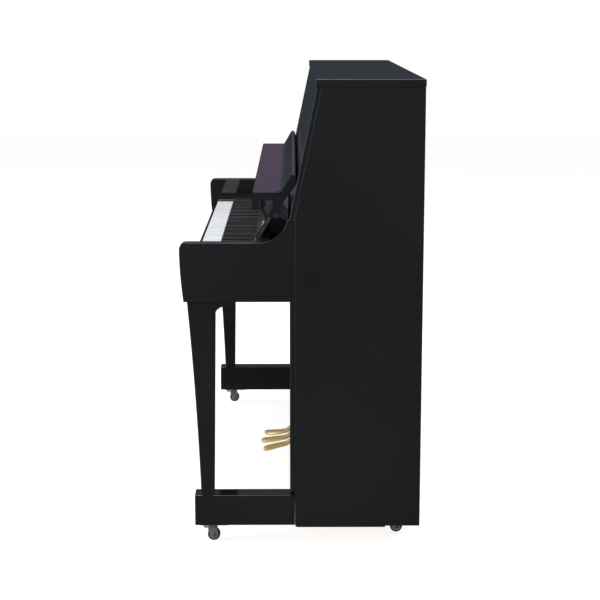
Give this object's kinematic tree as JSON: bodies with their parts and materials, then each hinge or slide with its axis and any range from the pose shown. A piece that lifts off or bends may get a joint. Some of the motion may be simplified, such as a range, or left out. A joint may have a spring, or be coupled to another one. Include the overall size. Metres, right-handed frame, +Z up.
{
  "type": "upright piano",
  "caption": "Upright piano in polished black: leaning upper front, arms on tapered legs and toe blocks, folding key lid with a narrow shelf, pedals and casters.",
  "frame": {"origin": "on the floor, in the middle of the overall width and depth", "axes": "+X to the player's right along the keyboard, -Y to the front, +Z up"},
  "size_m": [1.485, 0.6078, 1.18],
  "materials": {
    "case_black": "black polished polyester",
    "raw_wood": "clear sealed beech and pine",
    "spruce": "varnished spruce",
    "key_white": "polished white",
    "key_black": "satin black",
    "red_felt": "pressed felt",
    "white_felt": "dense hammer felt",
    "brass": "polished and lacquered",
    "plate_bronze": "bronze paint",
    "bright_steel": "bright steel",
    "dark_steel": "blackened steel",
    "caster_metal": "grey zinc",
    "caster_wheel": "hard black tread"
  },
  "bodies": {
    "case": {"side_panel_right": "case_black", "side_panel_left": "case_black", "arm_right": "case_black", "arm_left": "case_black", "toe_block_right": "case_black", "toe_block_left": "case_black", "leg_right": "case_black", "leg_left": "case_black", "side_runners": "case_black", "lid_hinge_seat": "brass", "upper_front_panel": "case_black", "lower_front_panel": "case_black", "toe_rail": "case_black", "bottom_board": "raw_wood", "keybed": "case_black", "key_frame": "raw_wood", "key_slip": "case_black", "key_blocks": "case_black", "name_board": "case_black", "name_board_felt": "red_felt", "white_keys": "key_white", "black_keys": "key_black", "fallboard_seat": "dark_steel", "pedal_brackets": "bright_steel", "caster_mounts": "caster_metal", "back_frame": "raw_wood", "soundboard": "spruce", "iron_plate": "plate_bronze", "tuning_pins": "bright_steel", "strings": "bright_steel", "action": "raw_wood", "hammer_shanks": "raw_wood", "hammer_heads": "white_felt"},
    "lid": {"top_lid": "case_black", "lid_hinge_leaf": "brass"},
    "key_lid": {"fallboard": "case_black", "fallboard_fittings": "dark_steel"},
    "shelf": {"music_shelf": "case_black", "shelf_hinge_leaf": "dark_steel"},
    "key_c": {"key_c": "key_white"},
    "key_c_sharp": {"key_c_sharp": "key_black"},
    "key_d": {"key_d": "key_white"},
    "key_d_sharp": {"key_d_sharp": "key_black"},
    "key_e": {"key_e": "key_white"},
    "key_f": {"key_f": "key_white"},
    "key_f_sharp": {"key_f_sharp": "key_black"},
    "key_g": {"key_g": "key_white"},
    "key_g_sharp": {"key_g_sharp": "key_black"},
    "key_a": {"key_a": "key_white"},
    "key_a_sharp": {"key_a_sharp": "key_black"},
    "key_b": {"key_b": "key_white"},
    "pedal_left": {"pedal_left": "brass"},
    "pedal_middle": {"pedal_middle": "brass"},
    "pedal_right": {"pedal_right": "brass"},
    "caster_fork_right": {"caster_fork_right": "caster_metal"},
    "front_wheel_right": {"front_wheel_right": "caster_wheel"},
    "rear_wheel_right": {"rear_wheel_right": "caster_wheel"},
    "caster_fork_left": {"caster_fork_left": "caster_metal"},
    "front_wheel_left": {"front_wheel_left": "caster_wheel"},
    "rear_wheel_left": {"rear_wheel_left": "caster_wheel"}
  },
  "joints": [
    {"name": "lid_hinge", "type": "hinge", "parent": "case", "child": "lid", "pos_m": [0, 0.3023, 1.16155], "axis": [-1, 0, 0], "range_deg": [0, 95]},
    {"name": "key_lid_hinge", "type": "hinge", "parent": "case", "child": "key_lid", "pos_m": [0, -0.10168, 0.7832], "axis": [1, 0, 0], "range_deg": [0, 120]},
    {"name": "shelf_hinge", "type": "hinge", "parent": "key_lid", "child": "shelf", "pos_m": [0, -0.05204, 0.90199], "axis": [1, 0, 0], "range_deg": [-120, 0]},
    {"name": "key_c_press", "type": "hinge", "parent": "case", "child": "key_c", "pos_m": [-0.05875, -0.048, 0.69], "axis": [1, 0, 0], "range_deg": [0, 2.5], "stiffness_Nm_per_rad": 1, "springref_deg": -8.59},
    {"name": "key_c_sharp_press", "type": "hinge", "parent": "case", "child": "key_c_sharp", "pos_m": [-0.0495, -0.048, 0.69], "axis": [1, 0, 0], "range_deg": [0, 2.5], "stiffness_Nm_per_rad": 1, "springref_deg": -8.59},
    {"name": "key_d_press", "type": "hinge", "parent": "case", "child": "key_d", "pos_m": [-0.03525, -0.048, 0.69], "axis": [1, 0, 0], "range_deg": [0, 2.5], "stiffness_Nm_per_rad": 1, "springref_deg": -8.59},
    {"name": "key_d_sharp_press", "type": "hinge", "parent": "case", "child": "key_d_sharp", "pos_m": [-0.021, -0.048, 0.69], "axis": [1, 0, 0], "range_deg": [0, 2.5], "stiffness_Nm_per_rad": 1, "springref_deg": -8.59},
    {"name": "key_e_press", "type": "hinge", "parent": "case", "child": "key_e", "pos_m": [-0.01175, -0.048, 0.69], "axis": [1, 0, 0], "range_deg": [0, 2.5], "stiffness_Nm_per_rad": 1, "springref_deg": -8.59},
    {"name": "key_f_press", "type": "hinge", "parent": "case", "child": "key_f", "pos_m": [0.01175, -0.048, 0.69], "axis": [1, 0, 0], "range_deg": [0, 2.5], "stiffness_Nm_per_rad": 1, "springref_deg": -8.59},
    {"name": "key_f_sharp_press", "type": "hinge", "parent": "case", "child": "key_f_sharp", "pos_m": [0.02, -0.048, 0.69], "axis": [1, 0, 0], "range_deg": [0, 2.5], "stiffness_Nm_per_rad": 1, "springref_deg": -8.59},
    {"name": "key_g_press", "type": "hinge", "parent": "case", "child": "key_g", "pos_m": [0.03525, -0.048, 0.69], "axis": [1, 0, 0], "range_deg": [0, 2.5], "stiffness_Nm_per_rad": 1, "springref_deg": -8.59},
    {"name": "key_g_sharp_press", "type": "hinge", "parent": "case", "child": "key_g_sharp", "pos_m": [0.047, -0.048, 0.69], "axis": [1, 0, 0], "range_deg": [0, 2.5], "stiffness_Nm_per_rad": 1, "springref_deg": -8.59},
    {"name": "key_a_press", "type": "hinge", "parent": "case", "child": "key_a", "pos_m": [0.05875, -0.048, 0.69], "axis": [1, 0, 0], "range_deg": [0, 2.5], "stiffness_Nm_per_rad": 1, "springref_deg": -8.59},
    {"name": "key_a_sharp_press", "type": "hinge", "parent": "case", "child": "key_a_sharp", "pos_m": [0.074, -0.048, 0.69], "axis": [1, 0, 0], "range_deg": [0, 2.5], "stiffness_Nm_per_rad": 1, "springref_deg": -8.59},
    {"name": "key_b_press", "type": "hinge", "parent": "case", "child": "key_b", "pos_m": [0.08225, -0.048, 0.69], "axis": [1, 0, 0], "range_deg": [0, 2.5], "stiffness_Nm_per_rad": 1, "springref_deg": -8.59},
    {"name": "pedal_left_press", "type": "hinge", "parent": "case", "child": "pedal_left", "pos_m": [-0.07, 0.04, 0.084], "axis": [1, 0, 0], "range_deg": [0, 4.5], "stiffness_Nm_per_rad": 20, "springref_deg": -2.86},
    {"name": "pedal_middle_press", "type": "hinge", "parent": "case", "child": "pedal_middle", "pos_m": [0, 0.04, 0.084], "axis": [1, 0, 0], "range_deg": [0, 4.5], "stiffness_Nm_per_rad": 20, "springref_deg": -2.86},
    {"name": "pedal_right_press", "type": "hinge", "parent": "case", "child": "pedal_right", "pos_m": [0.07, 0.04, 0.084], "axis": [1, 0, 0], "range_deg": [0, 4.5], "stiffness_Nm_per_rad": 20, "springref_deg": -2.86},
    {"name": "caster_swivel_right", "type": "hinge", "parent": "case", "child": "caster_fork_right", "pos_m": [0.704, -0.2375, 0.039], "axis": [0, 0, 1], "continuous": true},
    {"name": "front_wheel_right_spin", "type": "hinge", "parent": "caster_fork_right", "child": "front_wheel_right", "pos_m": [0.704, -0.226, 0.016], "axis": [1, 0, 0], "continuous": true},
    {"name": "rear_wheel_right_spin", "type": "hinge", "parent": "case", "child": "rear_wheel_right", "pos_m": [0.643, 0.248, 0.016], "axis": [1, 0, 0], "continuous": true},
    {"name": "caster_swivel_left", "type": "hinge", "parent": "case", "child": "caster_fork_left", "pos_m": [-0.704, -0.2375, 0.039], "axis": [0, 0, 1], "continuous": true},
    {"name": "front_wheel_left_spin", "type": "hinge", "parent": "caster_fork_left", "child": "front_wheel_left", "pos_m": [-0.704, -0.226, 0.016], "axis": [1, 0, 0], "continuous": true},
    {"name": "rear_wheel_left_spin", "type": "hinge", "parent": "case", "child": "rear_wheel_left", "pos_m": [-0.643, 0.248, 0.016], "axis": [1, 0, 0], "continuous": true}
  ],
  "couplings": [
    {"joint": "shelf_hinge", "follows": "key_lid_hinge", "ratio": -1}
  ]
}
